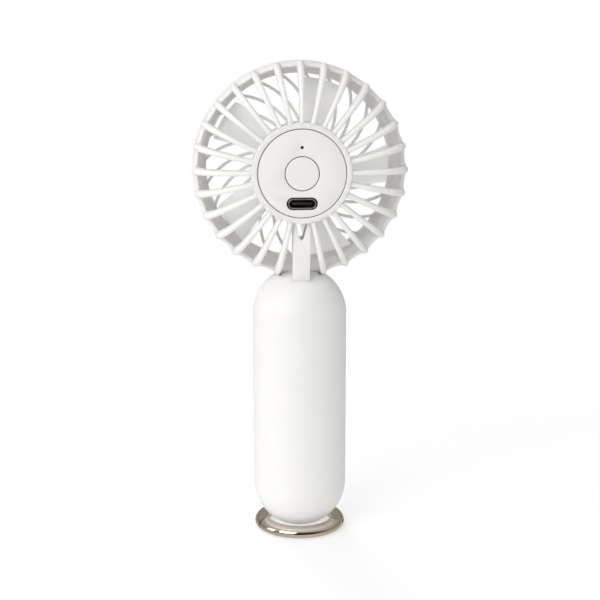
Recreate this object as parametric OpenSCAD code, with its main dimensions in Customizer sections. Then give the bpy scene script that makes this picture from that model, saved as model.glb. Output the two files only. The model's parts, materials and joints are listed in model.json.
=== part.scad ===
// Handheld battery fan that stands on a hinged metal ring.
// +Z is up, the air outlet faces -Y and the controls face +Y. Lengths are in millimetres.

/* [Head] */
// Height of the fan wheel's axis above the floor
head_z = 122.8; // [115:0.1:135]
// Largest radius of the front cover
head_r = 35.2; // [32:0.1:40]
// Radius at the ends of the rear fins
fin_tip_r = 35.4; // [32:0.1:39]
// Outer radius of the hub ring around the control panel
hub_r = 16.1; // [14:0.1:18]
// Number of equal places around the hub, one of them taken by the neck bar
fin_places = 28; // [20:1:36]
// Fin width at the hub
fin_w_in = 1.3; // [1:0.1:2.5]
// Fin width at the rim
fin_w_out = 2.2; // [1.6:0.1:4]
// Height of the fin crest at the hub
crest_top = 14.9; // [12:0.1:16]
// Roundness of the crest curve
crest_power = 2.4; // [2:0.1:4]
// Width of the neck bar
bar_w = 5.6; // [4:0.1:8]
// Number of spiral ribs in the front grille
rib_count = 24; // [16:1:36]
// Radius of curvature of a spiral rib
rib_bend = 22; // [20:0.5:40]
// Width of a spiral rib
rib_w = 1.0; // [0.8:0.1:2]

/* [Controls] */
// Radius of the control panel disc
panel_r = 14; // [12:0.05:15]
// Radius of the power button
button_r = 5.3; // [4:0.1:7]
// Radius of the indicator pinhole
pinhole_r = 0.52; // [0.3:0.01:1]
// Distance of the pinhole above the button's centre
pinhole_up = 8.3; // [7:0.1:11]
// Distance of the charging port below the button's centre
port_down = 9.6; // [8:0.05:11]

/* [Fan wheel] */
// Number of blades
blade_count = 5; // [3:1:9]
// Blade tip radius
blade_r = 30; // [26:0.1:30.5]
// Blade thickness
blade_t = 0.9; // [0.8:0.1:1.6]
// Radius of the motor shaft
shaft_r = 1; // [0.8:0.05:1.5]
// Radial clearance between shaft and bearings
shaft_play = 0.03; // [0.01:0.01:0.1]

/* [Handle] */
// Outer radius of the handle
grip_r = 15.65; // [14:0.05:18]
// Wall thickness of the handle shells
grip_wall = 1.6; // [1.2:0.1:2.5]
// Height of the lower dome's centre
dome_low_z = 16; // [15.9:0.1:20]
// Height of the upper dome's centre
dome_high_z = 74.5; // [70:0.1:76]
// Radius of the battery cell
cell_r = 9.1; // [8.8:0.1:9.3]

/* [Ring stand] */
// Outer radius of the ring
ring_r = 15.3; // [14:0.1:17]
// Inner radius of the ring
ring_in_r = 11; // [10.5:0.1:12]
// Thickness of the ring
ring_t = 3.3; // [3:0.1:4]
// Edge chamfer of the ring
ring_edge = 0.5; // [0.2:0.1:0.8]
// Gap between the gate's tip and the ring frame
gate_gap = 0.5; // [0.3:0.05:0.6]

/* [Hidden] */
$fn = 64;

slot_r = 33.2;
joint_r = 34.6;
lead_x = 2.35;
lead_y = 7;
board_z = dome_high_z + 4.5;
lug_y = -13.2;
lug_z = ring_t / 2;
ring_mid = (ring_r + ring_in_r) / 2;
gate_from = 166;
split_out = 24;
split_in = 10;
pin_x = ring_mid * cos(gate_from);
pin_y = ring_mid * sin(gate_from);
turn = 360 / fin_places;

module at_head() {
  translate([0, 0, head_z])
    rotate([-90, 0, 0])
      children();
}

// Smooth falling curve from full height at the hub to nothing at the rim
function fall(r, r0, r1) = pow(max(0, 1 - pow((r - r0) / (r1 - r0), crest_power)), 1 / crest_power);

function crest(r) = 2 + (crest_top - 2) * fall(r, 15.4, fin_tip_r);

function inner(r) = 1.2 + 9.6 * fall(r, 15.4, 33);

module fin_profile() {
  steps = 12;
  polygon(concat(
    [for (i = [0:steps]) let (r = 15.4 + (fin_tip_r - 15.4) * sin(90 * i / steps)) [r, crest(r)]],
    [[fin_tip_r, 1.2], [fin_tip_r - 0.5, 0.2], [33.3, 0.2]],
    [for (i = [steps:-1:0]) let (r = 15.4 + 17.6 * sin(90 * i / steps)) [r, inner(r)]]
  ));
}

module fin() {
  intersection() {
    rotate([90, 0, 0])
      linear_extrude(height = 8, center = true)
        fin_profile();
    linear_extrude(height = 20)
      polygon([[15.2, -fin_w_in / 2], [27, -fin_w_in / 2 - 0.22], [36, -fin_w_out / 2],
        [36, fin_w_out / 2], [27, fin_w_in / 2 + 0.22], [15.2, fin_w_in / 2]]);
  }
}

module rim_band() {
  rotate_extrude()
    polygon([[slot_r, 0.4], [33.45, 0.4], [33.45, 0], [joint_r, 0], [joint_r, 2.2],
      [joint_r - 0.4, 3.1], [joint_r - 1, 3.4], [slot_r, 3]]);
}

module hub_cup() {
  rotate_extrude()
    polygon([[2.9, 5], [hub_r, 5], [hub_r, 14.6], [hub_r - 0.6, 15.2], [panel_r + 0.3, 15.2],
      [panel_r + 0.3, 13.4], [13.4, 13.4], [13.4, 8.8], [12.2, 8.8], [12.2, 6.5], [2.9, 6.5]]);
}

module neck_bar() {
  rotate([90, 0, 90])
    translate([0, 0, -bar_w / 2])
      linear_extrude(height = bar_w)
        polygon([[13.8, 5.2], [15.6, 4.2], [40.8, 4.2], [40.8, 8.4], [35.6, 9.2],
          [33, 10.4], [27, 12.2], [20, 12.9], [15.4, 12.9], [13.8, 12]]);
  translate([-5, 39.2, 4.2])
    cube([10, 1.6, 4.2]);
}

module neck_notch() {
  translate([0, 0, 1])
    linear_extrude(height = 18)
      polygon([[-1.8, 16.12], [1.8, 16.12], [1.7, 17.4], [0.7, 21.3], [0, 22],
        [-0.7, 21.3], [-1.7, 17.4]]);
}

module lead_channels(r) {
  for (s = [-1, 1])
    translate([s * lead_x, 11, lead_y])
      rotate([-90, 0, 0])
        cylinder(h = 32, r = r, $fn = 24);
}

module rear_grille() {
  color([0.95, 0.94, 0.92])
    at_head()
      difference() {
        union() {
          hub_cup();
          rim_band();
          for (k = [1:fin_places - 1])
            rotate([0, 0, 90 + k * turn])
              fin();
          neck_bar();
        }
        neck_notch();
        lead_channels(0.28);
        for (k = [0:2])
          rotate([0, 0, 30 + k * 120])
            translate([11, 0, 4])
              cylinder(h = 4, r = 0.6, $fn = 24);
        for (k = [-1:1])
          rotate([0, 0, -90 + k * 14])
            translate([8.6, 0, 4])
              cylinder(h = 4, r = 0.6, $fn = 24);
      }
}

// Distance of a rib's arc centre from the axis, and the turn that puts its outer end on the X axis
rib_off = sqrt(rib_bend * rib_bend - 40);
rib_turn = acos((31.6 * 31.6 - 40) / (2 * 31.6 * rib_off));

module spiral_rib() {
  intersection() {
    translate([0, 0, -12.8])
      linear_extrude(height = 1.4)
        polygon([[6, -9], [32, -9], [33.5, 0], [32, 2], [6, 2]]);
    translate([rib_off * cos(rib_turn), rib_off * sin(rib_turn), -13])
      difference() {
        cylinder(h = 2, r = rib_bend + rib_w / 2, $fn = 96);
        translate([0, 0, -1])
          cylinder(h = 4, r = rib_bend - rib_w / 2, $fn = 96);
      }
    translate([0, 0, -14])
      difference() {
        cylinder(h = 4, r = 31.4);
        translate([0, 0, -1])
          cylinder(h = 6, r = 11);
      }
  }
}

module front_grille() {
  color([0.95, 0.94, 0.92])
    at_head() {
      rotate_extrude()
        polygon([[33.45, 0], [joint_r, 0], [head_r - 0.2, -3], [head_r, -6.5], [head_r - 0.3, -9.8],
          [33.9, -12.2], [32.4, -13.3], [30.8, -13.4], [30.8, -11], [32.5, -11], [33.1, -10.2]]);
      for (k = [0:rib_count - 1])
        rotate([0, 0, 12.1 + k * 360 / rib_count])
          spiral_rib();
      rotate_extrude()
        polygon([[0, -12.4], [8, -12.4], [8, -13.6], [11.5, -13.6], [11.5, -11.2], [0, -11.2]]);
    }
}

module front_cap() {
  color([0.93, 0.92, 0.9])
    at_head()
      rotate_extrude()
        polygon([[0, -12.4], [7.9, -12.4], [7.9, -13.6], [10.4, -13.6], [10.4, -14.2],
          [9.6, -15], [0, -15.2]]);
}

module stadium(w, h) {
  square([w - h, h], center = true);
  for (s = [-1, 1])
    translate([s * (w - h) / 2, 0])
      circle(d = h, $fn = 48);
}

module control_panel() {
  color([0.93, 0.91, 0.9])
    at_head()
      difference() {
        translate([0, 0, 13.4])
          cylinder(h = 1.6, r = panel_r, $fn = 96);
        translate([0, 0, 13])
          cylinder(h = 3, r = button_r + 0.3, $fn = 64);
        translate([0, -pinhole_up, 13])
          cylinder(h = 3, r = pinhole_r, $fn = 24);
        translate([0, port_down, 13])
          linear_extrude(height = 3)
            stadium(10, 4.05);
      }
}

module light_pipe() {
  color([0.2, 0.2, 0.22])
    at_head()
      translate([0, -pinhole_up, 10])
        cylinder(h = 3.4, r = 0.95, $fn = 24);
}

module usb_shell() {
  color([0.75, 0.76, 0.78])
    at_head()
      translate([0, port_down, 8.1])
        difference() {
          linear_extrude(height = 6.8)
            stadium(8.94, 3.2);
          translate([0, 0, 1.2])
            linear_extrude(height = 8)
              stadium(8.34, 2.6);
        }
}

module usb_tongue() {
  color([0.08, 0.08, 0.09])
    at_head()
      translate([0, port_down, 9.3])
        difference() {
          union() {
            linear_extrude(height = 1)
              stadium(8.34, 2.6);
            translate([-3.35, -0.35, 0.5])
              cube([6.7, 0.7, 4.4]);
          }
          usb_pads();
        }
}

module usb_pads() {
  for (i = [-5.5:1:5.5])
    for (s = [-1, 1])
      translate([i * 0.5 - 0.13, s * 0.35 - 0.06, 1.6])
        cube([0.26, 0.12, 2.9]);
}

module usb_contacts() {
  color([0.83, 0.68, 0.3])
    at_head()
      translate([0, port_down, 9.3])
        usb_pads();
}

module control_board() {
  color([0.1, 0.35, 0.2])
    at_head()
      difference() {
        union() {
          translate([0, 0, 8.8])
            cylinder(h = 1.2, r = 13.2);
          translate([5.4, -6.5, 10])
            cube([4, 4, 0.9]);
          translate([-9.2, -5.6, 10])
            cube([3, 2.6, 0.8]);
        }
        translate([0, port_down, 8])
          linear_extrude(height = 4)
            stadium(8.94, 3.2);
      }
}

module tact_switch() {
  color([0.15, 0.15, 0.16])
    at_head()
      translate([0, 0, 10])
        difference() {
          translate([-2.6, -2.6, 0])
            cube([5.2, 5.2, 1.1]);
          translate([0, 0, -1])
            cylinder(h = 3, r = 1.4, $fn = 32);
        }
}

module power_button() {
  color([0.95, 0.94, 0.92])
    at_head()
      rotate_extrude()
        polygon([[0, 12], [1.6, 12], [1.6, 12.5], [6.4, 12.5], [6.4, 13.1], [button_r, 13.1],
          [button_r, 14.8], [button_r - 0.2, 15], [0, 15]]);
}

module switch_stem() {
  color([0.85, 0.84, 0.8])
    at_head()
      translate([0, 0, 10.8])
        cylinder(h = 1.2, r = 1, $fn = 32);
}

module motor_mount() {
  color([0.88, 0.88, 0.86])
    at_head()
      difference() {
        union() {
          translate([0, 0, 3.6])
            cylinder(h = 1.4, r = 12.9);
          translate([0, 0, -5])
            cylinder(h = 11, r = 2.85);
        }
        translate([0, 0, -6])
          cylinder(h = 9.6, r = 2, $fn = 48);
        for (k = [0:2])
          rotate([0, 0, 30 + k * 120])
            translate([11, 0, 3])
              cylinder(h = 3, r = 0.7, $fn = 24);
        for (k = [-1:1])
          rotate([0, 0, -90 + k * 14])
            translate([8.6, 0, 3])
              cylinder(h = 3, r = 0.6, $fn = 24);
      }
}

module motor_board() {
  color([0.12, 0.4, 0.22])
    at_head()
      difference() {
        translate([0, 0, 2.6])
          cylinder(h = 1, r = 9.4);
        translate([0, 0, 2])
          cylinder(h = 3, r = 2.85);
      }
}

module stator_core() {
  color([0.55, 0.56, 0.58])
    at_head()
      translate([0, 0, -3.4])
        difference() {
          cylinder(h = 4.2, r = 8.2);
          translate([0, 0, -1])
            cylinder(h = 7, r = 2.85);
          for (k = [0:8])
            rotate([0, 0, k * 40 + 20]) {
              translate([6, 0, -1])
                cylinder(h = 7, r = 1.3, $fn = 24);
              translate([6, -0.3, -1])
                cube([4, 0.6, 7]);
            }
        }
}

module stator_coils() {
  color([0.72, 0.4, 0.2])
    at_head()
      for (k = [0:8])
        rotate([0, 0, k * 40])
          for (z = [-4.4, 0.8])
            translate([4.2, -1.1, z])
              cube([2.9, 2.2, 1]);
}

module bearing(z) {
  at_head()
    translate([0, 0, z])
      difference() {
        cylinder(h = 1.6, r = 2, $fn = 48);
        translate([0, 0, -1])
          cylinder(h = 4, r = shaft_r + shaft_play, $fn = 48);
      }
}

module bearing_rear() {
  color([0.7, 0.6, 0.35])
    bearing(1.6);
}

module bearing_front() {
  color([0.7, 0.6, 0.35])
    bearing(-5);
}

module motor_screws() {
  color([0.6, 0.6, 0.62])
    at_head()
      for (k = [0:2])
        rotate([0, 0, 30 + k * 120])
          translate([11, 0, 0]) {
            translate([0, 0, 3])
              cylinder(h = 3.8, r = 0.6, $fn = 24);
            translate([0, 0, 2.5])
              cylinder(h = 1.1, r = 1.2, $fn = 32);
          }
}

module blade() {
  intersection() {
    translate([10.8, -7, -7])
      cube([20, 14, 10.2]);
    translate([0, -7.5, 6.95])
      rotate([0, 90, 0])
        difference() {
          cylinder(h = 32, r = 14 + blade_t / 2, $fn = 96);
          translate([0, 0, -1])
            cylinder(h = 34, r = 14 - blade_t / 2, $fn = 96);
        }
    translate([0, 0, -8])
      cylinder(h = 12, r = blade_r, $fn = 96);
  }
}

module impeller() {
  color([0.96, 0.96, 0.95])
    at_head()
      difference() {
        union() {
          rotate_extrude()
            polygon([[shaft_r, -8.4], [2.4, -8.4], [2.4, -7.6], [11.4, -7.6], [12.2, -6.8],
              [12.2, 2], [10.4, 2], [10.4, -6.4], [shaft_r, -6.4]]);
          difference() {
            for (k = [0:blade_count - 1])
              rotate([0, 0, 34 + k * 360 / blade_count])
                blade();
            translate([0, 0, -9])
              cylinder(h = 14, r = 11.4);
          }
        }
      }
}

module rotor_cup() {
  color([0.6, 0.61, 0.63])
    at_head()
      rotate_extrude()
        polygon([[shaft_r, -6.4], [10.4, -6.4], [10.4, 1.4], [9.8, 1.4], [9.8, -5.8], [shaft_r, -5.8]]);
}

module rotor_magnet() {
  color([0.2, 0.2, 0.22])
    at_head()
      rotate_extrude()
        polygon([[8.6, -4.6], [9.8, -4.6], [9.8, 1.1], [8.6, 1.1]]);
}

module motor_shaft() {
  color([0.78, 0.79, 0.8])
    at_head()
      translate([0, 0, -8.8])
        cylinder(h = 12.1, r = shaft_r, $fn = 48);
}

module capsule(r) {
  translate([0, 0, dome_low_z])
    sphere(r = r, $fn = 96);
  translate([0, 0, dome_low_z])
    cylinder(h = dome_high_z - dome_low_z, r = r, $fn = 96);
  translate([0, 0, dome_high_z])
    sphere(r = r, $fn = 96);
}

// Room that the head takes out of the handle's top
module head_room() {
  at_head()
    rotate_extrude($fn = 128)
      polygon([[0, -20], [head_r + 0.05, -20], [head_r + 0.05, -6.5], [head_r - 0.15, -3],
        [joint_r + 0.05, 0], [joint_r + 0.05, 2.2], [joint_r - 0.35, 3.15], [joint_r - 0.95, 3.45], [0, 3.45]]);
  difference() {
    at_head()
      cylinder(h = 20, r = fin_tip_r + 0.05, $fn = 128);
    translate([-6.2, -1, 80])
      cube([12.4, 30, 20]);
  }
}

module grip_shell(side) {
  y0 = side > 0 ? 0.05 : -20;
  difference() {
    intersection() {
      difference() {
        capsule(grip_r);
        capsule(grip_r - grip_wall);
      }
      translate([-20, y0, -1])
        cube([40, 19.95, 100]);
    }
    head_room();
    translate([-bar_w / 2 - 0.05, 4.15, 80])
      cube([bar_w + 0.1, 5.1, 12]);
  }
  intersection() {
    for (z = [24, 44, 64])
      translate([0, 0, z])
        difference() {
          cylinder(h = 1.6, r = grip_r - grip_wall + 0.4);
          translate([0, 0, -1])
            cylinder(h = 4, r = cell_r + 0.15);
          translate([cell_r - 1, -3, -1])
            cube([1.6, 6, 4]);
        }
    translate([-20, y0, -1])
      cube([40, 19.95, 100]);
  }
}

module handle_rear() {
  color([0.95, 0.94, 0.92])
    grip_shell(1);
}

module handle_front() {
  color([0.95, 0.94, 0.92])
    difference() {
      union() {
        grip_shell(-1);
        translate([0, -5.5, 3.05])
          cylinder(h = 2, r = 3.1, $fn = 48);
      }
      translate([-2.05, -16, -1])
        cube([4.1, 12.1, 3.95]);
      translate([0, -5.5, 1])
        cylinder(h = 6, r = 1.8, $fn = 32);
    }
}

module battery_cell() {
  color([0.2, 0.45, 0.7])
    translate([0, 0, 13.4])
      rotate_extrude()
        polygon([[0, 0], [8.7, 0], [cell_r, 0.5], [cell_r, 63.6], [8.7, 64], [4, 64], [3.2, 65], [0, 65]]);
}

module cell_tabs() {
  color([0.8, 0.8, 0.78])
    union() {
      translate([-2.5, -2.5, 78.4])
        cube([5, 5, 0.6]);
      translate([cell_r, -2, 13.2])
        cube([0.2, 4, 65.8]);
      translate([0, -2, 13.2])
        cube([cell_r + 0.2, 4, 0.2]);
    }
}

module battery_pad() {
  color([0.12, 0.12, 0.13])
    translate([0, 0, 10])
      cylinder(h = 3.2, r = 7.5);
}

module protection_board() {
  color([0.1, 0.35, 0.2])
    translate([0, 0, board_z])
      cylinder(h = 1, r = 9.6);
}

module lead(side) {
  translate([side * lead_x, lead_y, board_z + 1])
    cylinder(h = head_z - 11.6 - board_z - 1, r = 0.25, $fn = 24);
  translate([side * lead_x, lead_y, head_z - 11.6])
    sphere(r = 0.25, $fn = 24);
  translate([side * lead_x, lead_y, head_z - 11.6])
    rotate([-90, 0, 0])
      cylinder(h = 1.8, r = 0.25, $fn = 24);
}

module lead_positive() {
  color([0.8, 0.1, 0.1])
    lead(-1);
}

module lead_negative() {
  color([0.08, 0.08, 0.08])
    lead(1);
}

module motor_leads() {
  color([0.85, 0.75, 0.2])
    at_head()
      for (k = [-1:1])
        rotate([0, 0, -90 + k * 14])
          translate([8.6, 0, 3.6])
            cylinder(h = 5.2, r = 0.3, $fn = 24);
}

module ring_lug() {
  color([0.78, 0.76, 0.72])
    difference() {
      union() {
        translate([-2, lug_y, 0.4])
          cube([4, -4 - lug_y, 2.5]);
        translate([-2, lug_y, lug_z])
          rotate([0, 90, 0])
            cylinder(h = 4, r = 1.6, $fn = 48);
        translate([0, -5.5, 2.5])
          cylinder(h = 5.5, r = 1.8, $fn = 32);
      }
      translate([-3, lug_y, lug_z])
        rotate([0, 90, 0])
          cylinder(h = 6, r = 0.95, $fn = 32);
    }
}

module lug_nut() {
  color([0.7, 0.7, 0.72])
    translate([0, -5.5, 5.05])
      difference() {
        cylinder(h = 1.6, r = 2.9, $fn = 6);
        translate([0, 0, -1])
          cylinder(h = 4, r = 1.8, $fn = 32);
      }
}

module ring_section() {
  polygon([[ring_in_r, ring_edge], [ring_in_r + ring_edge, 0], [ring_r - 1.3, 0],
    [ring_r - 0.4, ring_t * 0.14], [ring_r, ring_t * 0.38], [ring_r, ring_t * 0.5],
    [ring_r - 0.6, ring_t * 0.82], [ring_r - 1.8, ring_t], [ring_in_r + ring_edge, ring_t],
    [ring_in_r, ring_t - ring_edge]]);
}

module ring_arc(from, span) {
  rotate([0, 0, from])
    rotate_extrude(angle = span)
      ring_section();
}

// The gate's side of the slanted split between the gate's tip and the frame
module gate_side(gap) {
  x0 = ring_in_r * cos(split_in);
  y0 = ring_in_r * sin(split_in);
  x1 = ring_r * cos(split_out);
  y1 = ring_r * sin(split_out);
  translate([x0, y0, -1])
    rotate([0, 0, atan2(y1 - y0, x1 - x0)])
      translate([-20, gap, 0])
        cube([40, 34, 8]);
}

module ring_frame() {
  color([0.78, 0.74, 0.68])
    union() {
      difference() {
        union() {
          ring_arc(gate_from, 395 - gate_from);
          intersection() {
            translate([pin_x, pin_y, 0])
              cylinder(h = ring_t, r = 2.15, $fn = 48);
            ring_arc(gate_from - 30, 60);
          }
        }
        intersection() {
          gate_side(-gate_gap);
          translate([5, 0, -1])
            cube([20, 20, 10]);
        }
        translate([-2.35, -16, -1])
          cube([4.7, 5.6, 8]);
        translate([pin_x, pin_y, 0.9])
          cylinder(h = 1.5, r = 2.35, $fn = 48);
        translate([pin_x, pin_y, -1])
          cylinder(h = 8, r = 0.6, $fn = 32);
      }
      translate([-3, lug_y, lug_z])
        rotate([0, 90, 0])
          cylinder(h = 6, r = 0.9, $fn = 32);
    }
}

module gate_pin() {
  color([0.7, 0.68, 0.64])
    translate([pin_x, pin_y, 0.05])
      cylinder(h = ring_t - 0.1, r = 0.6, $fn = 32);
}

module ring_gate() {
  color([0.78, 0.74, 0.68])
    difference() {
      union() {
        difference() {
          intersection() {
            ring_arc(0, gate_from);
            gate_side(0);
          }
          translate([pin_x, pin_y, -1])
            cylinder(h = 8, r = 2.5, $fn = 48);
        }
        translate([pin_x, pin_y, 1.2]) {
          cylinder(h = 0.9, r = 1.7, $fn = 48);
          rotate([0, 0, gate_from - 90])
            translate([0, -1.2, 0])
              cube([3.6, 2.4, 0.9]);
        }
      }
      translate([pin_x, pin_y, -1])
        cylinder(h = 8, r = 0.65, $fn = 32);
    }
}

rear_grille();
front_grille();
front_cap();
control_panel();
light_pipe();
usb_shell();
usb_tongue();
usb_contacts();
control_board();
tact_switch();
motor_mount();
motor_board();
stator_core();
stator_coils();
bearing_rear();
bearing_front();
motor_screws();
impeller();
rotor_cup();
rotor_magnet();
motor_shaft();
power_button();
switch_stem();
handle_rear();
handle_front();
battery_cell();
cell_tabs();
battery_pad();
protection_board();
lead_positive();
lead_negative();
motor_leads();
ring_lug();
lug_nut();
ring_frame();
gate_pin();
ring_gate();
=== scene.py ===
"""Visual model of the handheld fan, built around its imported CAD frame. Lengths below are in millimetres."""
import json
import math

import bmesh
import bpy
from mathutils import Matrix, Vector


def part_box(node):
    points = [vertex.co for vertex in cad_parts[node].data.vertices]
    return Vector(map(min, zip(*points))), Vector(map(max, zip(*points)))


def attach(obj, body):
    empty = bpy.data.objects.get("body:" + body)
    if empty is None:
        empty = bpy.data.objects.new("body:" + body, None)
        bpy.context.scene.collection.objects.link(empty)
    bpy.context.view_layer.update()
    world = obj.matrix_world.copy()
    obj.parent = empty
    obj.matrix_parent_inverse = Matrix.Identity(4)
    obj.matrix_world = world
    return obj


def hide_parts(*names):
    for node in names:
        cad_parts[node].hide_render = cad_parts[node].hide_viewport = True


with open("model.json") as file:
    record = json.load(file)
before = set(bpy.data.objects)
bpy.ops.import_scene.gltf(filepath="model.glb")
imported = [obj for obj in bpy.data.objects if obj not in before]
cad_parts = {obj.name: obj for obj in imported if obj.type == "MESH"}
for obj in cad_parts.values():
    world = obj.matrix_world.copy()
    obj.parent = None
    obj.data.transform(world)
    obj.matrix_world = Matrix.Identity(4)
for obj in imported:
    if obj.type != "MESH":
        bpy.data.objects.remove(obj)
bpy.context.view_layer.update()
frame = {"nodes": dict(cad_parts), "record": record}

MM = 0.001
NODES = frame["nodes"]
_lo, _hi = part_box("control_panel")
HEAD_Z = (_lo.z + _hi.z) / 2 / MM  # height of the wheel's axis

# Rear grille: PLACES counts the fins and the neck bar, which stands at the angle DOWN
HUB_R, FIN_ROOT_R, TIP_R = 16.1, 15.4, 35.4
PLACES, DOWN = 28, 90
TURN = 360 / PLACES
BAR_W = 5.6

# Front grille, and the rim band that it closes against
COVER_R, JOINT_R = 35.2, 34.6
SLOT_R, LIP_R = 33.2, 33.45
RIBS, FIRST_RIB = 24, 12.1
# A rib is an arc of radius RIB_BEND. RIB_SLACK is RIB_BEND squared, less the square of the distance from
# the arc's centre to the axis. A rib at angle 0 meets that angle at radius RIB_AIM
RIB_BEND, RIB_SLACK = 22.0, 40.0
RIB_IN, RIB_AIM, RIB_OUT = 10.9, 31.6, 31.5

# Fan wheel
BLADES, FIRST_BLADE = 5, 34
BLADE_IN, BLADE_OUT = 11.7, 29.9

# Ring stand: angles run from +X towards +Y
RING_R, RING_IN, RING_T = 15.3, 11.0, 3.3
RING_MID = (RING_R + RING_IN) / 2
LUG_Y, LUG_Z, LUG_NOTCH = -13.2, RING_T / 2, 2.35
GATE_FROM, SPLIT_OUT, SPLIT_IN, GATE_GAP = 166.0, 24.0, 10.0, 0.5
PIN = (RING_MID * math.cos(math.radians(GATE_FROM)), RING_MID * math.sin(math.radians(GATE_FROM)))
PIN_R, PIN_BORE = 0.6, 0.65
KNUCKLE_R, TONGUE_R = 2.15, 1.7
TONGUE_Z, TONGUE_SLOT = (1.2, 2.1), (0.9, 2.4)

MATS = {}


# ---------------------------------------------------------------- mesh helpers
def rad(a):
    return math.radians(a)


def head(r, a, y):
    """A point at radius r and angle a round the wheel's axis (90 is straight down), at depth y."""
    return Vector((r * math.cos(rad(a)), y, HEAD_Z - r * math.sin(rad(a))))


def upright(r, a, z):
    """A point at radius r and angle a round the vertical axis, at height z."""
    return Vector((r * math.cos(rad(a)), r * math.sin(rad(a)), z))


def rounded(poly, radius, steps=4):
    """The polygon with each corner turned into an arc; radius is one number, or one per corner."""
    out = []
    n = len(poly)
    for i, p in enumerate(poly):
        want = radius[i] if isinstance(radius, (list, tuple)) else radius
        a, b, c = Vector(poly[i - 1]), Vector(p), Vector(poly[(i + 1) % n])
        u, v = a - b, c - b
        if want <= 0 or u.length < 1e-6 or v.length < 1e-6:
            out.append(tuple(p))
            continue
        half = u.angle(v) / 2
        if half > rad(88):
            out.append(tuple(p))
            continue
        cut = min(want / math.tan(half), 0.45 * u.length, 0.45 * v.length)
        s, e = b + u.normalized() * cut, b + v.normalized() * cut
        for k in range(steps + 1):
            t = k / steps
            out.append(tuple(s * (1 - t) ** 2 + b * 2 * t * (1 - t) + e * t * t))
    return out


def loft(bm, rings, caps=True, round_trip=False):
    """Quads between rings of points; the ends are closed unless the rings come round to the first."""
    rows = [[bm.verts.new(p * MM) for p in ring] for ring in rings]
    n = len(rows[0])
    pairs = list(zip(rows, rows[1:]))
    if round_trip:
        pairs.append((rows[-1], rows[0]))
    for a, b in pairs:
        for i in range(n):
            j = (i + 1) % n
            bm.faces.new((a[i], a[j], b[j], b[i]))
    if caps and not round_trip:
        bm.faces.new(rows[0][::-1])
        bm.faces.new(rows[-1])


def lathe(bm, profile, place=head, steps=144):
    """Turns a closed (radius, height) profile all the way round."""
    loft(bm, [[place(max(r, 0.0), 360 * k / steps, h) for r, h in profile] for k in range(steps)], round_trip=True)


def rod(bm, start, end, r, steps=32, soft=0.12):
    """A round bar with softened ends."""
    start, end = Vector(start), Vector(end)
    axis = (end - start).normalized()
    side = axis.orthogonal().normalized()
    other = axis.cross(side)
    rings = []
    for at, rr in ((start, r - soft), (start + axis * soft, r), (end - axis * soft, r), (end, r - soft)):
        rings.append([at + (side * math.cos(rad(360 * k / steps)) + other * math.sin(rad(360 * k / steps))) * rr
                      for k in range(steps)])
    loft(bm, rings)


def finish_mesh(obj, smooth=35):
    """Welds the mesh, drops edges that carry no face and turns all faces outwards."""
    bm = bmesh.new()
    bm.from_mesh(obj.data)
    bmesh.ops.remove_doubles(bm, verts=bm.verts, dist=1e-7)
    bmesh.ops.dissolve_degenerate(bm, edges=bm.edges, dist=1e-7)
    bmesh.ops.delete(bm, geom=[e for e in bm.edges if not e.link_faces], context="EDGES")
    bmesh.ops.recalc_face_normals(bm, faces=bm.faces)
    bm.to_mesh(obj.data)
    bm.free()
    for p in obj.data.polygons:
        p.use_smooth = True
    obj.data.set_sharp_from_angle(angle=rad(smooth))


def new_object(name, bm, smooth=35):
    mesh = bpy.data.meshes.new(name)
    bm.to_mesh(mesh)
    bm.free()
    obj = bpy.data.objects.new(name, mesh)
    bpy.context.scene.collection.objects.link(obj)
    finish_mesh(obj, smooth)
    return obj


def apply_modifiers(obj):
    dg = bpy.context.evaluated_depsgraph_get()
    mesh = bpy.data.meshes.new_from_object(obj.evaluated_get(dg))
    obj.modifiers.clear()
    obj.data = mesh


def cut(obj, cutter, operation="DIFFERENCE"):
    """Cuts one object with another, or joins them, and uses the other up."""
    mod = obj.modifiers.new("cut", "BOOLEAN")
    mod.operation, mod.solver, mod.object = operation, "EXACT", cutter
    apply_modifiers(obj)
    bpy.data.objects.remove(cutter)


def soften(obj, width, segments=2, angle=40):
    """Rounds the sharp edges."""
    mod = obj.modifiers.new("soften", "BEVEL")
    mod.width, mod.segments, mod.limit_method, mod.angle_limit = width * MM, segments, "ANGLE", rad(angle)
    mod.use_clamp_overlap = True
    apply_modifiers(obj)


def piece(obj, body, slot, *replaced, smooth=35):
    """Finishes an object as a visible piece that moves with a body and stands for CAD nodes."""
    finish_mesh(obj, smooth)
    obj.data.materials.clear()
    obj.data.materials.append(MATS[slot])
    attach(obj, body)
    if replaced:
        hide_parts(*replaced)
    return obj


def skin(node, body, slot, width=0.0, smooth=30):
    """A copy of a CAD node's surface with soft edges, which stands for it."""
    bm = bmesh.new()
    bm.from_mesh(NODES[node].data)
    bmesh.ops.remove_doubles(bm, verts=bm.verts, dist=2e-6)
    bmesh.ops.dissolve_limit(bm, angle_limit=rad(0.6), verts=bm.verts, edges=bm.edges)
    obj = new_object(node + "_look", bm, smooth)
    if width:
        soften(obj, width, 2, 40)
    return piece(obj, body, slot, node, smooth=smooth)


# ---------------------------------------------------------------- materials
def material(name):
    mat = bpy.data.materials.new(name)
    mat.use_nodes = True
    nt = mat.node_tree
    return mat, nt, nt.nodes["Principled BSDF"]


def noise(nt, scale, detail=3.0, rough=0.55):
    tex = nt.nodes.new("ShaderNodeTexNoise")
    tex.inputs["Scale"].default_value = scale
    tex.inputs["Detail"].default_value = detail
    tex.inputs["Roughness"].default_value = rough
    at = nt.nodes.new("ShaderNodeTexCoord")
    nt.links.new(at.outputs["Object"], tex.inputs["Vector"])
    return tex


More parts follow.
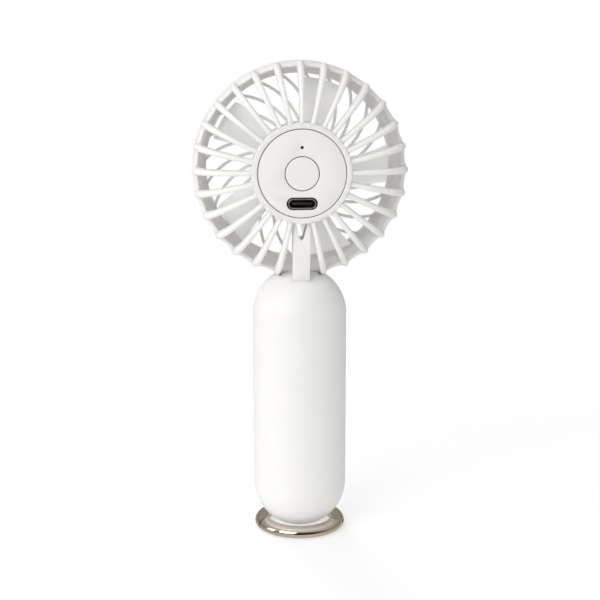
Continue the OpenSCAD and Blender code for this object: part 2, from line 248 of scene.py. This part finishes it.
def ramp(nt, source, stops):
    node = nt.nodes.new("ShaderNodeValToRGB")
    while len(node.color_ramp.elements) < len(stops):
        node.color_ramp.elements.new(0.5)
    for e, (at, colour) in zip(node.color_ramp.elements, stops):
        e.position = at
        e.color = (*colour, 1) if len(colour) == 3 else colour
    nt.links.new(source, node.inputs["Fac"])
    return node


def bump(nt, shader, source, strength, distance):
    node = nt.nodes.new("ShaderNodeBump")
    node.inputs["Strength"].default_value = strength
    node.inputs["Distance"].default_value = distance
    nt.links.new(source, node.inputs["Height"])
    nt.links.new(node.outputs["Normal"], shader.inputs["Normal"])


def shade(c, k):
    """The colour made k times as bright."""
    return tuple(min(1.0, max(0.0, v * k)) for v in c)


def plastic(name, colour, rough=0.42, grain=2600, depth=0.012, spread=0.01, edge_highlight=0.03, coat=0.0,
            scatter=0.0, soft=2.5):
    """Moulded plastic: faint flow colour, fine mould grain, and a painted highlight that makes convex edges a little
    brighter.
    """
    mat, nt, sh = material(name)
    flow = noise(nt, 130, 4)
    tint = ramp(nt, flow.outputs["Fac"], [(0.3, shade(colour, 1 - spread)), (0.7, shade(colour, 1 + spread))])
    # Painted highlight: where pointiness finds a convex edge, the base colour is mixed towards a brighter copy of
    # itself
    edge_highlight_source = nt.nodes.new("ShaderNodeNewGeometry")
    edge_highlight_mask = ramp(nt, edge_highlight_source.outputs["Pointiness"], [(0.52, (0, 0, 0)), (0.6, (1, 1, 1))])
    mix = nt.nodes.new("ShaderNodeMix")
    mix.data_type = "RGBA"
    mix.inputs["B"].default_value = (*shade(colour, 1 + edge_highlight), 1)
    nt.links.new(edge_highlight_mask.outputs["Color"], mix.inputs["Factor"])
    nt.links.new(tint.outputs["Color"], mix.inputs["A"])
    nt.links.new(mix.outputs["Result"], sh.inputs["Base Color"])
    fine = noise(nt, grain, 2, 0.6)
    gloss = ramp(nt, noise(nt, 160, 3).outputs["Fac"], [(0.3, (rough - 0.05,) * 3), (0.7, (rough + 0.06,) * 3)])
    nt.links.new(gloss.outputs["Color"], sh.inputs["Roughness"])
    bump(nt, sh, fine.outputs["Fac"], 0.35, depth * MM)
    sh.inputs["IOR"].default_value = 1.5
    sh.inputs["Coat Weight"].default_value = coat
    if scatter:
        sh.inputs["Subsurface Weight"].default_value = scatter
        sh.inputs["Subsurface Radius"].default_value = (1.0, 0.95, 0.9)
        sh.inputs["Subsurface Scale"].default_value = soft * MM
    MATS[name] = mat


def metal(name, colour, rough=0.25, grain=400, stretch=None, depth=0.004, spread=0.05, gap=0.06):
    """Metal with fine scratches; stretch draws the scratches out along an axis."""
    mat, nt, sh = material(name)
    sh.inputs["Metallic"].default_value = 1.0
    tint = ramp(nt, noise(nt, 120, 4).outputs["Fac"],
                [(0.35, shade(colour, 1 - spread)), (0.65, shade(colour, 1 + spread))])
    nt.links.new(tint.outputs["Color"], sh.inputs["Base Color"])
    line = noise(nt, grain, 5, 0.6)
    if stretch:
        at = nt.nodes.new("ShaderNodeTexCoord")
        scale = nt.nodes.new("ShaderNodeMapping")
        scale.inputs["Scale"].default_value = stretch
        nt.links.new(at.outputs["Object"], scale.inputs["Vector"])
        nt.links.new(scale.outputs["Vector"], line.inputs["Vector"])
    gloss = ramp(nt, line.outputs["Fac"], [(0.35, (max(0.02, rough - gap),) * 3), (0.65, (rough + gap,) * 3)])
    nt.links.new(gloss.outputs["Color"], sh.inputs["Roughness"])
    bump(nt, sh, line.outputs["Fac"], 0.25, depth * MM)
    MATS[name] = mat


def board(name, colour):
    """Printed circuit board: solder mask with traces under it."""
    mat, nt, sh = material(name)
    at = nt.nodes.new("ShaderNodeTexCoord")
    cells = nt.nodes.new("ShaderNodeTexVoronoi")
    cells.feature, cells.distance = "F1", "MANHATTAN"
    cells.inputs["Scale"].default_value = 420
    nt.links.new(at.outputs["Object"], cells.inputs["Vector"])
    traces = ramp(nt, cells.outputs["Distance"], [(0.42, colour), (0.5, shade(colour, 1.7)), (0.58, colour)])
    nt.links.new(traces.outputs["Color"], sh.inputs["Base Color"])
    gloss = ramp(nt, noise(nt, 300, 3).outputs["Fac"], [(0.3, (0.22,) * 3), (0.7, (0.34,) * 3)])
    nt.links.new(gloss.outputs["Color"], sh.inputs["Roughness"])
    bump(nt, sh, cells.outputs["Distance"], 0.3, 0.02 * MM)
    MATS[name] = mat


WHITE = (0.86, 0.85, 0.832)
plastic("white_shell", WHITE, 0.42, scatter=0.3)
plastic("white_panel", (0.835, 0.81, 0.795), 0.5, grain=3400, spread=0.006)
# The wheel's white is paler than the shell's: painted light that lifts the blades, shaded behind the cage, towards
# white. The subsurface scatter is real translucency of the thin blades.
plastic("white_wheel", (0.94, 0.94, 0.93), 0.34, scatter=1.0, soft=6)
plastic("button_white", (0.84, 0.825, 0.80), 0.44, grain=3400, spread=0.006)
plastic("light_dark", (0.012, 0.012, 0.014), 0.18, depth=0.004, coat=0.3)
plastic("port_black", (0.012, 0.012, 0.012), 0.5)
plastic("switch_black", (0.02, 0.02, 0.02), 0.5)
plastic("mount_white", (0.72, 0.72, 0.70), 0.5)
plastic("cell_wrap", (0.05, 0.18, 0.42), 0.24, grain=600, depth=0.03, coat=0.4)
plastic("pad_rubber", (0.02, 0.02, 0.02), 0.8, grain=1500, depth=0.05)
plastic("lead_red", (0.5, 0.02, 0.015), 0.45, grain=1200)
plastic("lead_black", (0.012, 0.012, 0.012), 0.45, grain=1200)
plastic("lead_yellow", (0.6, 0.4, 0.03), 0.45, grain=1200)
plastic("magnet_dark", (0.045, 0.045, 0.05), 0.6, grain=900, depth=0.04)
board("board_green", (0.008, 0.09, 0.04))
metal("port_steel", (0.66, 0.66, 0.68), 0.3, 900, (1, 1, 14))
metal("contact_gold", (0.83, 0.62, 0.25), 0.22)
metal("lamination", (0.35, 0.36, 0.38), 0.42, 600, (1, 30, 1), 0.02)
metal("copper_wire", (0.62, 0.25, 0.09), 0.3, 900, (1, 20, 1), 0.03)
metal("bearing_bronze", (0.5, 0.36, 0.18), 0.4, 1500, depth=0.02)
metal("screw_steel", (0.5, 0.5, 0.52), 0.32)
metal("rotor_steel", (0.45, 0.46, 0.48), 0.35, 500, (1, 18, 1))
metal("shaft_steel", (0.62, 0.63, 0.65), 0.18, 700, (18, 1, 18))
metal("tab_nickel", (0.6, 0.59, 0.55), 0.35)
metal("ring_nickel", (0.79, 0.74, 0.67), 0.09, 700, (1, 1, 9), 0.002, 0.03, 0.03)
metal("lug_steel", (0.58, 0.55, 0.5), 0.28, 600, (14, 1, 1))

slots = {m["node"]: m["material_slot"] for m in frame["record"]["subparts"]}
for node, obj in NODES.items():
    obj.data.materials.clear()
    obj.data.materials.append(MATS[slots[node]])


# ---------------------------------------------------------------- rear grille
def fall(r, r0, r1, power=2.4):
    """1 at radius r0, falling along a rounded shoulder to 0 at r1."""
    t = (r - r0) / (r1 - r0)
    return max(0.0, 1 - max(0.0, t) ** power) ** (1 / power)


def crest(r):
    """Depth of a fin's outer edge."""
    return 2 + 12.9 * fall(r, FIN_ROOT_R, TIP_R)


def inner(r):
    """Depth of a fin's inner edge."""
    return 1.2 + 9.6 * fall(r, FIN_ROOT_R, 33)


def fin_width(r):
    """Width of a fin: it widens towards the tip and flares where it meets the hub."""
    w = 1.35 + (r - FIN_ROOT_R) * 0.45 / 11.6 if r < 27 else 1.8 + (r - 27) * 0.4 / 8.4
    return w + 1.1 * math.exp(-max(0.0, r - HUB_R) / 0.45)


def fin(bm, a):
    """One fin at angle a, from the hub round the shoulder to its tip on the rim band."""
    stations = []
    steps = 26
    for i in range(steps + 1):
        s = math.sin(math.pi / 2 * i / steps)
        rc, ri = FIN_ROOT_R + (TIP_R - FIN_ROOT_R) * s, FIN_ROOT_R + 17.6 * s
        stations.append(((rc, crest(rc)), (ri, inner(ri))))
    stations.append(((TIP_R - 0.03, 1.1), (SLOT_R, 0.6)))
    stations.append(((TIP_R - 0.25, 0.3), (33.3, 0.2)))
    side = Vector((-math.sin(rad(a)), 0, -math.cos(rad(a))))
    rings = []
    for (rc, yc), (ri, yi) in stations:
        top, low = head(rc, a, yc), head(ri, a, yi)
        h = fin_width(rc) / 2
        depth = (top - low).length
        cap = min(0.45, 0.95 * h / depth)
        ring = [(-h * 0.8, 0.0), (-h, 0.05)]
        for k in range(9):
            t = rad(180 - 22.5 * k)
            ring.append((h * math.cos(t), 1 - cap + cap * math.sin(t)))
        ring += [(h, 0.05), (h * 0.8, 0.0)]
        rings.append([low + (top - low) * v + side * u for u, v in ring])
    loft(bm, rings)


def rim_band(bm):
    """The band that joins the fins' ends; its outer edge dips between one fin and the next."""
    profile = rounded([(SLOT_R, 0.4), (LIP_R, 0.4), (LIP_R, 0.02), (JOINT_R, 0.02), (JOINT_R, 2.0), (34.2, 3.0),
                       (33.7, 3.4), (SLOT_R, 3.1)], [0.1, 0, 0, 0.1, 0.8, 0.6, 0.3, 0.15])
    steps = PLACES * 8
    rings = []
    for k in range(steps):
        near = (0.5 + 0.5 * math.cos(2 * math.pi * k / 8)) ** 1.3
        rings.append([head(r + (0.5 * near - 0.06) * max(0.0, r - LIP_R) / 1.15, DOWN + 360 * k / steps, y)
                      for r, y in profile])
    loft(bm, rings, round_trip=True)


def rear_grille():
    bm = bmesh.new()
    lathe(bm, rounded([(2.9, 5), (HUB_R, 5), (HUB_R, 15.2), (14.3, 15.2), (14.3, 13.4), (13.4, 13.4), (13.4, 8.8),
                       (12.2, 8.8), (12.2, 6.5), (2.9, 6.5)], [0.2, 0.5, 0.55, 0.18, 0.1, 0.1, 0.1, 0.1, 0.2, 0.2]))
    rim_band(bm)
    for k in range(1, PLACES):
        fin(bm, DOWN + k * TURN)
    body = new_object("rear_grille_body", bm)
    bm = bmesh.new()
    side = rounded([(13.8, 5.2), (15.6, 4.2), (40.8, 4.2), (40.8, 8.4), (35.6, 9.2), (33, 10.4), (27, 12.2),
                    (20, 12.9), (15.4, 12.9), (13.8, 12)], [0, 0, 0, 0, 3, 4, 4, 0, 0, 0], 5)
    loft(bm, [[Vector((x, y, HEAD_Z - r)) for r, y in side] for x in (-BAR_W / 2, BAR_W / 2)])
    bar = new_object("neck_bar", bm)
    bm = bmesh.new()
    vee = rounded([(-1.75, 16.14), (1.75, 16.14), (1.65, 17.4), (0.7, 21.1), (0, 22.0), (-0.7, 21.1), (-1.65, 17.4)],
                  [0, 0, 1, 1, 0.5, 1, 1])
    loft(bm, [[Vector((x, y, HEAD_Z - r)) for x, r in vee] for y in (1, 18)])
    cut(bar, new_object("notch", bm))
    soften(bar, 0.16, 3)
    bm = bmesh.new()
    bm.from_mesh(body.data)
    bm.from_mesh(bar.data)
    bpy.data.objects.remove(bar)
    bpy.data.objects.remove(body)
    piece(new_object("rear_grille_look", bm), "handle", "white_shell", "rear_grille")


rear_grille()


# ---------------------------------------------------------------- front grille
def front_grille():
    bm = bmesh.new()
    lathe(bm, rounded([(LIP_R, -0.02), (JOINT_R, -0.02), (35.0, -3), (COVER_R, -6.5), (34.9, -9.8), (33.9, -12.3),
                       (32.4, -13.4), (30.8, -13.4), (30.8, -11), (32.5, -11), (33.1, -10.2)],
                      [0.1, 0.2, 5, 5, 5, 3, 1, 0.35, 0.3, 0.3, 1], 6), steps=168)
    lathe(bm, rounded([(0, -12.4), (8, -12.4), (8, -13.6), (11.5, -13.6), (11.5, -11.2), (0, -11.2)],
                      [0, 0, 0.15, 0.5, 0.3, 0]))
    off = math.sqrt(RIB_BEND * RIB_BEND - RIB_SLACK)
    turn0 = math.acos((RIB_AIM ** 2 - RIB_SLACK) / (2 * RIB_AIM * off))
    centre = Vector((off * math.cos(turn0), off * math.sin(turn0)))

    def around(r):
        """Direction from the arc's centre to its point at radius r from the axis."""
        b = turn0 - math.acos((r * r - RIB_SLACK) / (2 * r * off))
        return math.atan2(r * math.sin(b) - centre.y, r * math.cos(b) - centre.x)

    a0, a1 = around(RIB_IN), around(RIB_OUT)
    section = rounded([(-0.5, -12.8), (0.5, -12.8), (0.5, -11.4), (-0.5, -11.4)], 0.32, 3)
    for k in range(RIBS):
        turn = rad(FIRST_RIB + k * 360 / RIBS)
        rings = []
        for i in range(17):
            a = a0 + (a1 - a0) * i / 16
            ring = []
            for w, y in section:
                x = centre.x + (RIB_BEND + w) * math.cos(a)
                z = centre.y + (RIB_BEND + w) * math.sin(a)
                ring.append(head(math.hypot(x, z), math.degrees(math.atan2(z, x) + turn), y))
            rings.append(ring)
        loft(bm, rings)
    piece(new_object("front_grille_look", bm), "handle", "white_shell", "front_grille")
    bm = bmesh.new()
    lathe(bm, rounded([(0, -12.4), (7.9, -12.4), (7.9, -13.6), (10.4, -13.6), (10.4, -14.2), (9.4, -14.95),
                       (0, -15.2)],
                      [0, 0, 0, 0.15, 0.5, 1.2, 0], 5))
    piece(new_object("front_cap_look", bm), "handle", "white_shell", "front_cap")


front_grille()


# ---------------------------------------------------------------- fan wheel
def blade(bm, a):
    """A cambered, twisted blade: steep at the hub, flatter and wider towards a rounded tip."""
    rings = []
    steps = 18
    for i in range(steps + 1):
        t = i / steps
        r = BLADE_IN + (BLADE_OUT - BLADE_IN) * t
        pitch = rad(46 - 14 * t)
        chord = 11.2 + 5.4 * t - 9.5 * max(0.0, t - 0.86) ** 1.4
        thick = 1.25 - 0.55 * t
        lean = 5 * t * t
        ring = []
        for k in range(22):
            u = 0.5 - 0.5 * math.cos(math.pi * (k if k <= 11 else 22 - k) / 11)
            half = thick * 1.9 * (u * (1 - u)) ** 0.5 * (1 - 0.35 * u) * 0.62
            along, up = (u - 0.5) * chord, -0.07 * chord * (1 - (2 * u - 1) ** 2) + (half if k <= 11 else -half)
            tang = along * math.cos(pitch) - up * math.sin(pitch)
            deep = along * math.sin(pitch) + up * math.cos(pitch) - 1.7
            ring.append(head(r, a + lean + math.degrees(tang / r), max(-6.9, min(3.1, deep))))
        rings.append(ring)
    loft(bm, rings)


def fan_wheel():
    bm = bmesh.new()
    lathe(bm, rounded([(1, -8.4), (2.4, -8.4), (2.4, -7.6), (11.4, -7.6), (12.2, -6.8), (12.2, 2), (10.4, 2),
                       (10.4, -6.4), (1, -6.4)], [0, 0.2, 0.3, 1.2, 1.0, 0.25, 0.2, 0.4, 0], 5), steps=96)
    for k in range(BLADES):
        blade(bm, FIRST_BLADE + k * 360 // BLADES)
    piece(new_object("impeller_look", bm), "impeller", "white_wheel", "impeller")


fan_wheel()


# ---------------------------------------------------------------- controls and handle
skin("control_panel", "handle", "white_panel", 0.12)
skin("usb_shell", "handle", "port_steel", 0.07)
skin("usb_tongue", "handle", "port_black", 0.04)
skin("handle_rear", "handle", "white_shell")
skin("handle_front", "handle", "white_shell")
skin("ring_lug", "handle", "lug_steel", 0.15)
skin("light_pipe", "handle", "light_dark", 0.1)

bm = bmesh.new()
lathe(bm, rounded([(0, 12), (1.6, 12), (1.6, 12.5), (6.4, 12.5), (6.4, 13.1), (5.3, 13.1), (5.3, 15), (0, 15)],
                  [0, 0.1, 0.1, 0.15, 0.15, 0.1, 0.22, 0]), steps=96)
piece(new_object("power_button_look", bm), "button", "button_white", "power_button")


# ---------------------------------------------------------------- ring stand
def ring_section(steps=10):
    """The D-shaped section: a flat inner side and top, and an outer side that is round all over."""
    quarters = [
        (RING_IN + 0.5, 0.5, 0.5, 0.5, 180),
        (RING_R - 1.4, 1.4, 1.4, 1.4, 270),
        (RING_R - 2.3, 1.4, 2.3, RING_T - 1.4, 0),
        (RING_IN + 0.5, RING_T - 0.5, 0.5, 0.5, 90),
    ]
    return [(cx + a * math.cos(rad(start + 90 * k / steps)), cz + b * math.sin(rad(start + 90 * k / steps)))
            for cx, cz, a, b, start in quarters for k in range(steps + 1)]


def ring_run(bm, first, last, steps=48):
    """Part of the ring between two ends; each end is an angle as a function of the radius."""
    section = ring_section()
    rings = []
    for i in range(steps + 1):
        t = i / steps
        rings.append([upright(r, first(r) * (1 - t) + last(r) * t, z) for r, z in section])
    loft(bm, rings)


def split(r):
    """Angle of the slanted split at radius r."""
    p = Vector((RING_IN * math.cos(rad(SPLIT_IN)), RING_IN * math.sin(rad(SPLIT_IN))))
    q = Vector((RING_R * math.cos(rad(SPLIT_OUT)), RING_R * math.sin(rad(SPLIT_OUT))))
    d = q - p
    b, c = p.dot(d), p.dot(p) - r * r
    t = (-b + math.sqrt(max(0.0, b * b - d.dot(d) * c))) / d.dot(d)
    at = p + d * t
    return math.degrees(math.atan2(at.y, at.x))


def drum(r, z0, z1, steps=64):
    """A cylinder on the gate pin's axis."""
    bm = bmesh.new()
    rod(bm, (PIN[0], PIN[1], z0), (PIN[0], PIN[1], z1), r, steps, 0.0)
    return new_object("drum", bm)


def ring_stand():
    bm = bmesh.new()
    ring_run(bm, lambda r: GATE_FROM - 14, lambda r: 270 - math.degrees(math.asin(LUG_NOTCH / r)))
    arc = new_object("arc", bm)
    along = Vector((math.cos(rad(GATE_FROM - 90)), math.sin(rad(GATE_FROM - 90)), 0))
    across = Vector((-along.y, along.x, 0))
    base = Vector((*PIN, 0))
    bm = bmesh.new()
    end = [(0, 4), (8, 4), (8, -4), (0, -4)]
    loft(bm, [[base + along * u + across * v + Vector((0, 0, z)) for u, v in end] for z in (-1, RING_T + 1)])
    beyond = new_object("beyond", bm)
    cut(beyond, drum(KNUCKLE_R, -2, RING_T + 2))
    cut(arc, beyond)
    cut(arc, drum(2.35, *TONGUE_SLOT))
    cut(arc, drum(PIN_R, -1, RING_T + 1, steps=32))
    bm = bmesh.new()
    bm.from_mesh(arc.data)
    bpy.data.objects.remove(arc)
    ring_run(bm, lambda r: 270 + math.degrees(math.asin(LUG_NOTCH / r)),
             lambda r: 360 + split(r) - math.degrees(GATE_GAP * 1.1 / r))
    rod(bm, (-3, LUG_Y, LUG_Z), (3, LUG_Y, LUG_Z), 0.9)
    piece(new_object("ring_frame_look", bm, 30), "ring", "ring_nickel", "ring_frame", smooth=30)

    bm = bmesh.new()
    ring_run(bm, split, lambda r: GATE_FROM)
    gate = new_object("gate", bm)
    cut(gate, drum(2.5, -1, RING_T + 1))
    tongue = [(0, 1.2), (3.5, 1.2), (3.5, -1.2), (0, -1.2)]
    bm = bmesh.new()
    loft(bm, [[base + along * u + across * v + Vector((0, 0, z)) for u, v in tongue] for z in TONGUE_Z])
    cut(gate, new_object("tongue", bm), "UNION")
    cut(gate, drum(TONGUE_R, *TONGUE_Z), "UNION")
    cut(gate, drum(PIN_BORE, -1, RING_T + 1, steps=32))
    bm = bmesh.new()
    bm.from_mesh(gate.data)
    bpy.data.objects.remove(gate)
    piece(new_object("ring_gate_look", bm, 30), "gate", "ring_nickel", "ring_gate", smooth=30)

    bm = bmesh.new()
    rod(bm, (*PIN, 0.05), (*PIN, RING_T - 0.05), PIN_R, 32, 0.1)
    piece(new_object("gate_pin_look", bm), "ring", "lug_steel", "gate_pin")


ring_stand()


# ---------------------------------------------------------------- floor, light and camera
def stage_mesh(name, verts, mat):
    mesh = bpy.data.meshes.new(name)
    mesh.from_pydata([Vector(v) for v in verts], [], [tuple(range(len(verts)))])
    obj = bpy.data.objects.new(name, mesh)
    bpy.context.scene.collection.objects.link(obj)
    obj.data.materials.append(mat)
    return obj


def glow(name, strength=1.0):
    """A material that only shines."""
    mat = bpy.data.materials.new(name)
    mat.use_nodes = True
    nt = mat.node_tree
    nt.nodes.clear()
    shine = nt.nodes.new("ShaderNodeEmission")
    out = nt.nodes.new("ShaderNodeOutputMaterial")
    shine.inputs["Strength"].default_value = strength
    nt.links.new(shine.outputs["Emission"], out.inputs["Surface"])
    return mat, nt, shine


def room_tone():
    """What polished metal mirrors: dark in front, warm beige at the sides and below, pale overhead."""
    mat, nt, shine = glow("room_tone")
    at = nt.nodes.new("ShaderNodeTexCoord")
    unit = nt.nodes.new("ShaderNodeVectorMath")
    unit.operation = "NORMALIZE"
    parts = nt.nodes.new("ShaderNodeSeparateXYZ")
    nt.links.new(at.outputs["Object"], unit.inputs[0])
    nt.links.new(unit.outputs["Vector"], parts.inputs["Vector"])
    reach = []
    for axis in "ZY":
        span = nt.nodes.new("ShaderNodeMapRange")
        span.inputs["From Min"].default_value = -1
        nt.links.new(parts.outputs[axis], span.inputs["Value"])
        reach.append(span.outputs["Result"])
    front = ramp(nt, reach[0], [
        (0.0, (0.62, 0.57, 0.50)), (0.40, (0.62, 0.56, 0.48)), (0.47, (0.10, 0.08, 0.06)),
        (0.52, (0.015, 0.012, 0.01)), (0.80, (0.03, 0.025, 0.02)), (0.93, (0.45, 0.43, 0.4))])
    side = ramp(nt, reach[0], [(0.0, (0.60, 0.56, 0.50)), (0.45, (0.40, 0.36, 0.31)), (0.6, (0.24, 0.21, 0.17)),
                               (0.8, (0.42, 0.39, 0.35)), (1.0, (0.7, 0.68, 0.65))])
    turn = ramp(nt, reach[1], [(0.62, (0, 0, 0)), (0.93, (1, 1, 1))])
    mix = nt.nodes.new("ShaderNodeMix")
    mix.data_type = "RGBA"
    nt.links.new(turn.outputs["Color"], mix.inputs["Factor"])
    nt.links.new(side.outputs["Color"], mix.inputs["A"])
    nt.links.new(front.outputs["Color"], mix.inputs["B"])
    nt.links.new(mix.outputs["Result"], shine.inputs["Color"])
    return mat


def only(obj, camera=False, diffuse=False, glossy=False):
    """Shows a stage piece to some kinds of ray only."""
    obj.visible_camera, obj.visible_diffuse, obj.visible_glossy = camera, diffuse, glossy
    obj.visible_transmission = obj.visible_volume_scatter = obj.visible_shadow = False
    return obj


def dome(name, radius, mat):
    """A sphere round the whole scene."""
    verts, faces = [], []
    rows, cols = 24, 48
    for i in range(rows + 1):
        p = math.pi * i / rows
        for k in range(cols):
            q = 2 * math.pi * k / cols
            verts.append((radius * math.sin(p) * math.cos(q), radius * math.sin(p) * math.sin(q),
                          radius * math.cos(p)))
    for i in range(rows):
        for k in range(cols):
            j = (k + 1) % cols
            faces.append((i * cols + k, i * cols + j, (i + 1) * cols + j, (i + 1) * cols + k))
    mesh = bpy.data.meshes.new(name)
    mesh.from_pydata(verts, [], faces)
    obj = bpy.data.objects.new(name, mesh)
    bpy.context.scene.collection.objects.link(obj)
    obj.data.materials.append(mat)
    for p in mesh.polygons:
        p.use_smooth = True
    return obj


# The floor, the domes and the lights are in metres. The floor fades out into the white backdrop
FLOOR_R, FADE_FROM = 0.45, 0.07
mat, nt, sh = material("floor_paper")
grain = ramp(nt, noise(nt, 900, 3).outputs["Fac"], [(0.3, (0.54, 0.54, 0.54)), (0.7, (0.56, 0.56, 0.56))])
nt.links.new(grain.outputs["Color"], sh.inputs["Base Color"])
sh.inputs["Roughness"].default_value = 0.9
sh.inputs["Specular IOR Level"].default_value = 0.0
sh.inputs["Emission Color"].default_value = (1, 1, 1, 1)
sh.inputs["Emission Strength"].default_value = 0.48
at = nt.nodes.new("ShaderNodeTexCoord")
reach = nt.nodes.new("ShaderNodeVectorMath")
reach.operation = "LENGTH"
nt.links.new(at.outputs["Object"], reach.inputs[0])
fade = nt.nodes.new("ShaderNodeMapRange")
fade.interpolation_type = "SMOOTHSTEP"
fade.inputs["From Min"].default_value = FADE_FROM
fade.inputs["From Max"].default_value = FLOOR_R * 0.95
fade.inputs["To Min"].default_value = 1.0
fade.inputs["To Max"].default_value = 0.0
nt.links.new(reach.outputs["Value"], fade.inputs["Value"])
nt.links.new(fade.outputs["Result"], sh.inputs["Alpha"])
outline = [(FLOOR_R * math.cos(rad(5 * k)), FLOOR_R * math.sin(rad(5 * k)), 0) for k in range(72)]
floor = stage_mesh("floor", outline, mat)
floor.visible_glossy = False
only(dome("backdrop", 3.0, glow("backdrop_white")[0]), camera=True)
only(dome("room", 2.5, room_tone()), glossy=True)

world = bpy.data.worlds.new("studio")
bpy.context.scene.world = world
world.use_nodes = True
world.node_tree.nodes["Background"].inputs["Color"].default_value = (0.98, 0.99, 1.0, 1)
world.node_tree.nodes["Background"].inputs["Strength"].default_value = 0.62


def area(name, at, aim, size, power, colour=(1, 1, 1)):
    """A rectangular soft light at one point, facing another; places and sizes are in metres."""
    data = bpy.data.lights.new(name, "AREA")
    data.shape, data.size, data.size_y = "RECTANGLE", size[0], size[1]
    data.energy, data.color = power, colour
    obj = bpy.data.objects.new(name, data)
    obj.location = at
    obj.rotation_mode = "QUATERNION"
    obj.rotation_quaternion = (Vector(aim) - Vector(at)).to_track_quat("-Z", "Y")
    bpy.context.scene.collection.objects.link(obj)
    return obj


area("key", (0.52, 0.68, 0.56), (0, 0, 0.09), (0.7, 0.7), 4.6, (1.0, 0.99, 0.97))
area("side", (0.8, 0.1, 0.3), (0, 0, 0.08), (0.3, 0.5), 0.8)
# The ring would mirror the back light as one white sheet
area("back", (0.22, -0.75, 0.42), (0, 0, 0.12), (0.5, 0.5), 3.1).visible_glossy = False

# Camera: angles in degrees, distance and aim in millimetres, focal length in pixels of a 600-pixel width
AZ, EL, DIST, FOCAL_PX = 176.635, 10.796, 421.5, 1264.5
AIM = Vector((-0.147, 0, 88.95)) * MM
camera = bpy.data.cameras.new("camera")
camera.sensor_width = 36
camera.lens = FOCAL_PX / 600 * 36
camera.shift_y = -0.05
camera.clip_start, camera.clip_end = 0.01, 50
cam = bpy.data.objects.new("camera", camera)
bpy.context.scene.collection.objects.link(cam)
back_dir = Vector((math.sin(rad(AZ)) * math.cos(rad(EL)), -math.cos(rad(AZ)) * math.cos(rad(EL)), math.sin(rad(EL))))
cam.location = AIM + back_dir * DIST * MM
cam.rotation_mode = "QUATERNION"
cam.rotation_quaternion = (-back_dir).to_track_quat("-Z", "Y")
bpy.context.scene.camera = cam
bpy.context.scene.view_settings.view_transform = "Standard"
